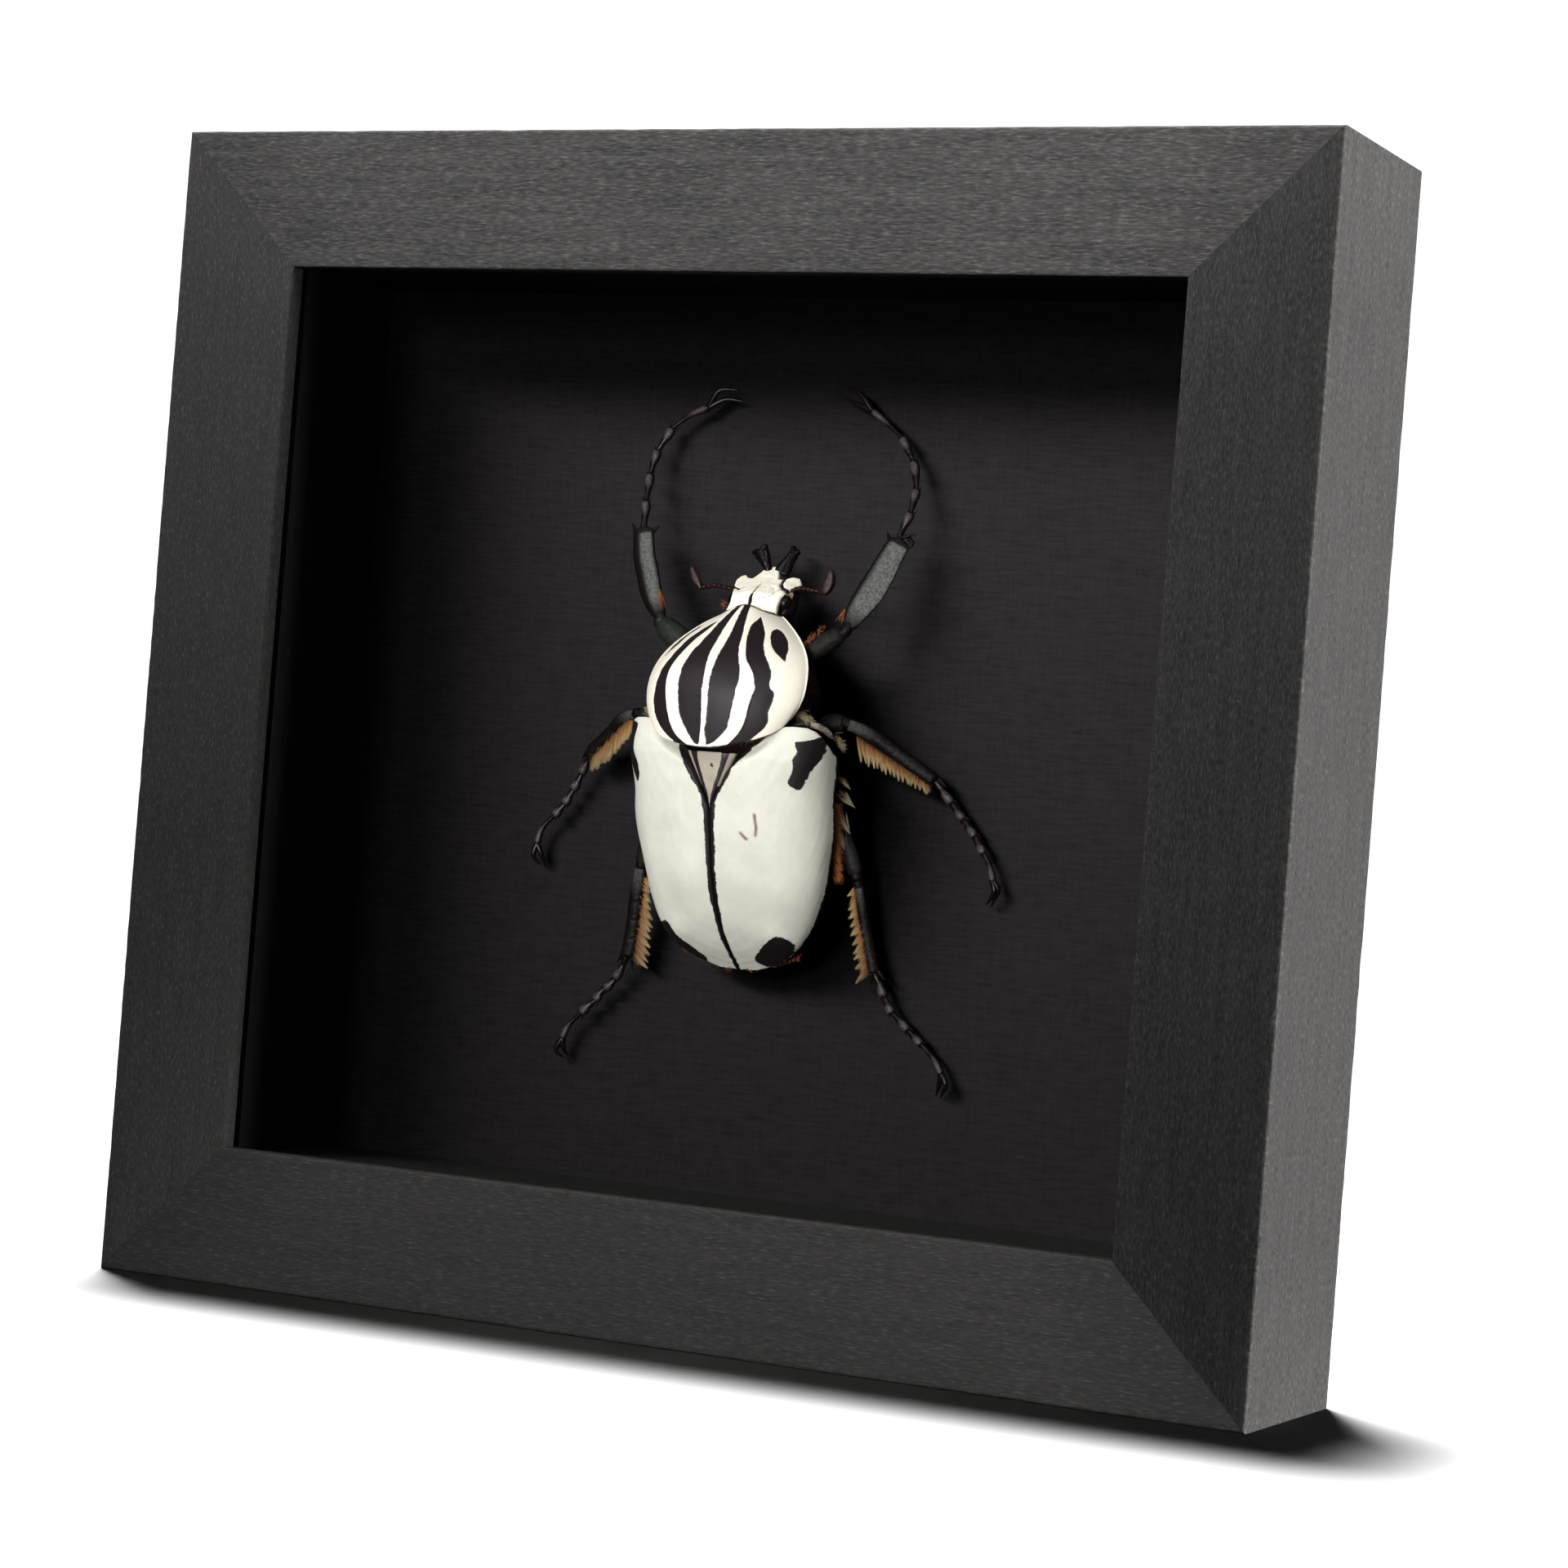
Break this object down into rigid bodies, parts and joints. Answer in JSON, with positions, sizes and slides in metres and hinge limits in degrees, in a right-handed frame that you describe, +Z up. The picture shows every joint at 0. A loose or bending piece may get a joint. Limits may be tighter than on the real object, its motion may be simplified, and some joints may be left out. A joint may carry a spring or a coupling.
{
  "type": "framed goliath beetle specimen",
  "caption": "Dried goliath beetle with spread legs, fixed to a dark cloth board behind glass in a black wooden box frame for a wall or shelf.",
  "frame": {"origin": "centre of the bottom of the frame's overall box, on the surface it stands on", "axes": "+X to the right seen from the glazed front, +Y from the glass to the back, +Z up"},
  "size_m": [0.165, 0.0316, 0.156],
  "materials": {
    "stained_wood": "black stain over fine open grain, matte",
    "clear_glass": "clear, low reflection",
    "inner_wall": "black stained, matte",
    "linen_board": "dark fine cross weave",
    "hardboard": "brown pressed board",
    "plated_steel": "zinc plated",
    "white_shell": "white chitin, satin",
    "cream_shell": "cream chitin, satin",
    "black_shell": "black velvety chitin",
    "brown_body": "brown chitin with hair",
    "limb_shell": "black brown chitin, glossy"
  },
  "bodies": {
    "root": {"rail_top": "stained_wood", "rail_bottom": "stained_wood", "rail_left": "stained_wood", "rail_right": "stained_wood", "glass_pane": "clear_glass", "spacer_top": "inner_wall", "spacer_bottom": "inner_wall", "spacer_left": "inner_wall", "spacer_right": "inner_wall", "mount_board": "linen_board", "back_panel": "hardboard", "sawtooth_hanger": "plated_steel", "hanger_screw_left": "plated_steel", "hanger_screw_right": "plated_steel", "head": "cream_shell", "antenna_left": "limb_shell", "antenna_right": "limb_shell", "pronotum": "cream_shell", "prothorax": "black_shell", "scutellum": "black_shell", "elytron_left": "white_shell", "elytron_right": "white_shell", "abdomen": "brown_body", "femur_front_left": "limb_shell", "femur_front_right": "limb_shell", "femur_mid_left": "limb_shell", "femur_mid_right": "limb_shell", "femur_hind_left": "limb_shell", "femur_hind_right": "limb_shell", "tibia_front_left": "limb_shell", "tibia_front_right": "limb_shell", "tibia_mid_left": "limb_shell", "tibia_mid_right": "limb_shell", "tibia_hind_left": "limb_shell", "tibia_hind_right": "limb_shell", "tarsus_front_left": "limb_shell", "tarsus_front_right": "limb_shell", "tarsus_mid_left": "limb_shell", "tarsus_mid_right": "limb_shell", "tarsus_hind_left": "limb_shell", "tarsus_hind_right": "limb_shell"}
  },
  "joints": []
}
